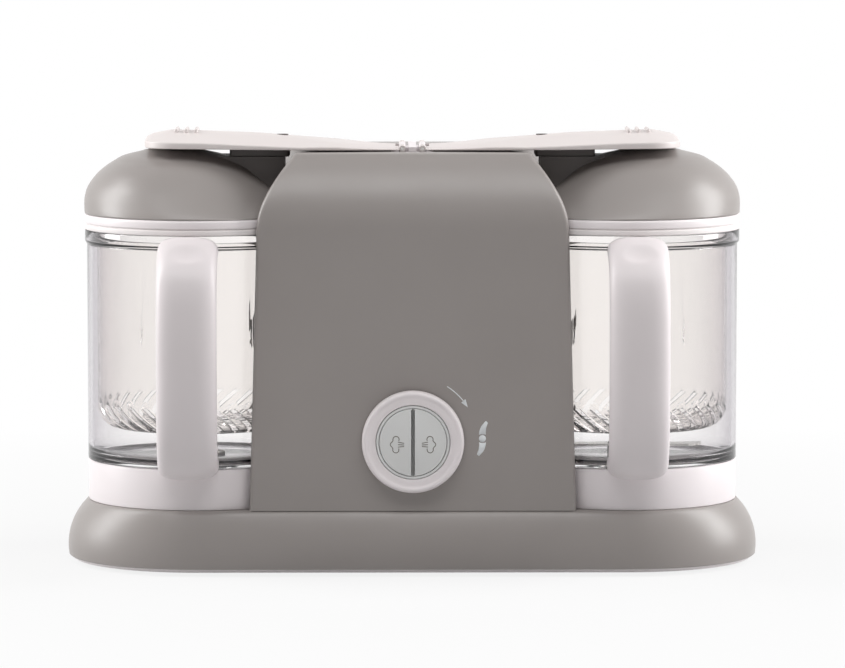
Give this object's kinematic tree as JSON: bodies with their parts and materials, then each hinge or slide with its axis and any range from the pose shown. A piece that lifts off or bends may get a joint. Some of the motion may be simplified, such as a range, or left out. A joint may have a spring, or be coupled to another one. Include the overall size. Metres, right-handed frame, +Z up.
{
  "type": "baby food maker",
  "caption": "Twin-bowl baby food maker: clear lidded bowls with steaming baskets on a long base, beside a column with tanks, boilers and motor; one bowl also blends.",
  "frame": {"origin": "centre of the plan box, on the surface that the feet stand on", "axes": "+X to the right as seen from the knob's side, +Y to the back, +Z up"},
  "size_m": [0.39, 0.204, 0.2453],
  "materials": {
    "shell_grey": "satin moulded",
    "white_plastic": "satin white",
    "pale_button": "fine satin",
    "clear_plastic": "polished clear",
    "clear_basket": "polished clear",
    "seal_white": "soft matt",
    "duct_dark": "matt",
    "black_plastic": "satin",
    "foot_rubber": "matt",
    "inner_plastic": "matt",
    "tank_plastic": "clear frosted",
    "steel": "brushed",
    "motor_steel": "zinc plated",
    "aluminium": "cast",
    "belt_rubber": "matt",
    "silicone_clear": "soft satin",
    "bronze": "sintered",
    "board_green": "lacquered"
  },
  "bodies": {
    "housing": {"base_shell": "shell_grey", "base_tray": "white_plastic", "rubber_feet": "foot_rubber", "base_screws": "steel", "cord_gland": "black_plastic", "column_front_cover": "shell_grey", "column_rear_cover": "shell_grey", "hinge_block": "white_plastic", "hinge_pins": "steel", "motor_can": "motor_steel", "motor_bracket": "inner_plastic", "drive_belt": "belt_rubber", "shaft_bearings": "steel", "heater_plates": "steel", "knob_switch": "black_plastic", "knob_spring": "steel", "button_carrier": "pale_button", "button_pad": "silicone_clear", "control_board": "board_green", "dock_left": "white_plastic", "dock_right": "white_plastic", "water_tank_left": "tank_plastic", "water_tank_right": "tank_plastic", "boilers": "aluminium", "steam_pipes": "silicone_clear", "steam_outlets": "silicone_clear"},
    "motor": {"motor_rotor": "motor_steel", "motor_pulley": "inner_plastic"},
    "drive": {"drive_pulley": "inner_plastic", "drive_shaft": "steel", "drive_coupling": "black_plastic"},
    "blade_set": {"blade_driver": "black_plastic", "blade_hub": "black_plastic", "blade": "steel"},
    "bowl_left": {"bowl_base_left": "white_plastic", "jug_left": "clear_plastic", "basket_left": "clear_basket", "handle_left": "white_plastic", "floor_plug": "seal_white"},
    "bowl_right": {"bowl_base_right": "white_plastic", "jug_right": "clear_plastic", "basket_right": "clear_basket", "handle_right": "white_plastic", "blade_bush": "bronze"},
    "lid_left": {"lid_arm_left": "white_plastic", "steam_duct_left": "duct_dark", "dome_left": "shell_grey", "lid_ring_left": "white_plastic", "lid_seal_left": "seal_white", "tank_plug_left": "seal_white"},
    "lid_right": {"lid_arm_right": "white_plastic", "steam_duct_right": "duct_dark", "dome_right": "shell_grey", "lid_ring_right": "white_plastic", "lid_seal_right": "seal_white", "tank_plug_right": "seal_white"},
    "knob": {"knob_ring": "white_plastic"},
    "left_button": {"button_left": "pale_button"},
    "right_button": {"button_right": "pale_button"}
  },
  "joints": [
    {"name": "lid_left_hinge", "type": "hinge", "parent": "housing", "child": "lid_left", "pos_m": [-0.0056, 0, 0.2349], "axis": [0, 1, 0], "range_deg": [0, 85]},
    {"name": "lid_right_hinge", "type": "hinge", "parent": "housing", "child": "lid_right", "pos_m": [0.0056, 0, 0.2349], "axis": [0, -1, 0], "range_deg": [0, 85]},
    {"name": "bowl_left_twist", "type": "hinge", "parent": "housing", "child": "bowl_left", "pos_m": [-0.1202, 0, 0.036], "axis": [0, 0, -1], "range_deg": [0, 30]},
    {"name": "bowl_right_twist", "type": "hinge", "parent": "housing", "child": "bowl_right", "pos_m": [0.1202, 0, 0.036], "axis": [0, 0, 1], "range_deg": [0, 30]},
    {"name": "knob_turn", "type": "hinge", "parent": "housing", "child": "knob", "pos_m": [0, -0.064, 0.075], "axis": [0, 1, 0], "range_deg": [0, 45], "stiffness_Nm_per_rad": 0.03, "springref_deg": -17.19},
    {"name": "left_button_press", "type": "slide", "parent": "housing", "child": "left_button", "axis": [0, 1, 0], "range_m": [0, 0.002], "stiffness_N_per_m": 600, "springref_m": -0.001},
    {"name": "right_button_press", "type": "slide", "parent": "housing", "child": "right_button", "axis": [0, 1, 0], "range_m": [0, 0.002], "stiffness_N_per_m": 600, "springref_m": -0.001},
    {"name": "motor_spin", "type": "hinge", "parent": "housing", "child": "motor", "pos_m": [0, 0.056, 0.062], "axis": [0, 0, 1], "continuous": true},
    {"name": "drive_spin", "type": "hinge", "parent": "housing", "child": "drive", "pos_m": [0.1202, 0, 0.0362], "axis": [0, 0, 1], "continuous": true},
    {"name": "blade_spin", "type": "hinge", "parent": "housing", "child": "blade_set", "pos_m": [0.1202, 0, 0.0658], "axis": [0, 0, 1], "continuous": true}
  ],
  "couplings": [
    {"joint": "drive_spin", "follows": "motor_spin", "ratio": 0.3},
    {"joint": "blade_spin", "follows": "motor_spin", "ratio": 0.3}
  ]
}
